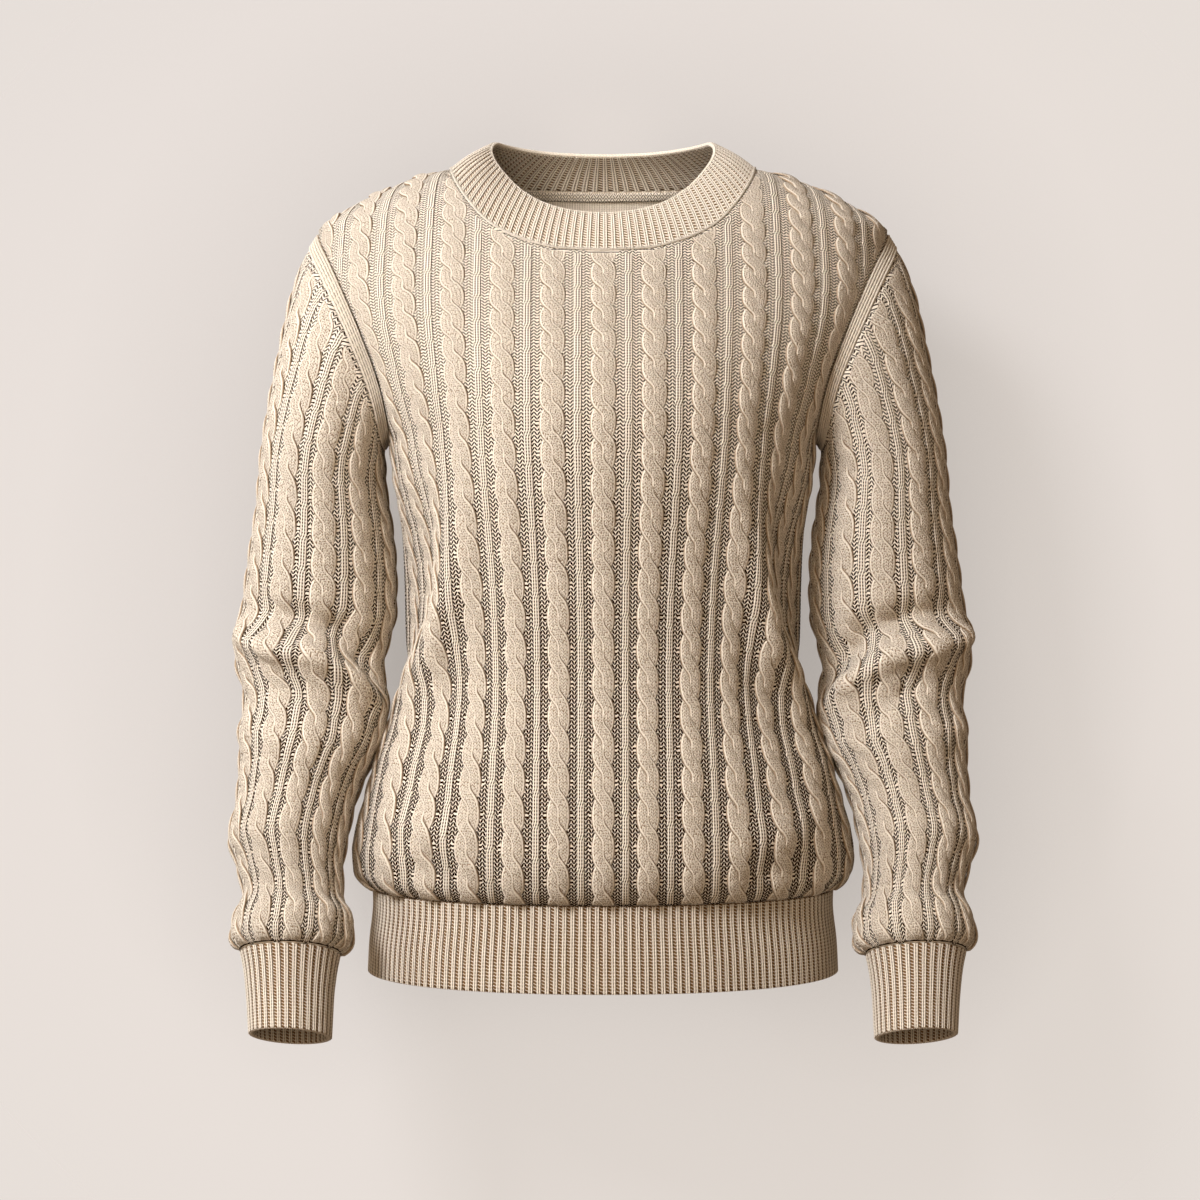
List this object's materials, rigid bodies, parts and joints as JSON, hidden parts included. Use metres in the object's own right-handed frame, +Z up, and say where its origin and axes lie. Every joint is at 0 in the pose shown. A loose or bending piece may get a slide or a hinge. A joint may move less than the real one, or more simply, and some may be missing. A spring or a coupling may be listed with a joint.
{
  "type": "cable knit sweater",
  "caption": "Relaxed long-sleeved crew-neck pullover in cable knit, with ribbed neckband, hem and cuffs, hollow and filled out as worn",
  "frame": {"origin": "centred between the wearer's shoulders, level with the tops of the shoulder seams", "axes": "+X towards the wearer's left, -Y towards the front, +Z up"},
  "size_m": [0.5417, 0.2447, 0.6552],
  "materials": {
    "body_knit": "matte beige cotton yarn in rope cables on a purl ground",
    "sleeve_knit": "matte beige cotton yarn in rope cables on a purl ground",
    "rib_knit": "matte beige ribbed knit",
    "band_knit": "matte beige narrow ribbed strip",
    "tape_knit": "matte beige narrow knitted tape"
  },
  "bodies": {
    "root": {"front_panel": "body_knit", "back_panel": "body_knit", "sleeve_right": "sleeve_knit", "sleeve_left": "sleeve_knit", "neckband": "rib_knit", "neck_tape": "tape_knit", "hem_band": "rib_knit", "cuff_right": "rib_knit", "cuff_left": "rib_knit", "armhole_band_right": "band_knit", "armhole_band_left": "band_knit"}
  },
  "joints": []
}
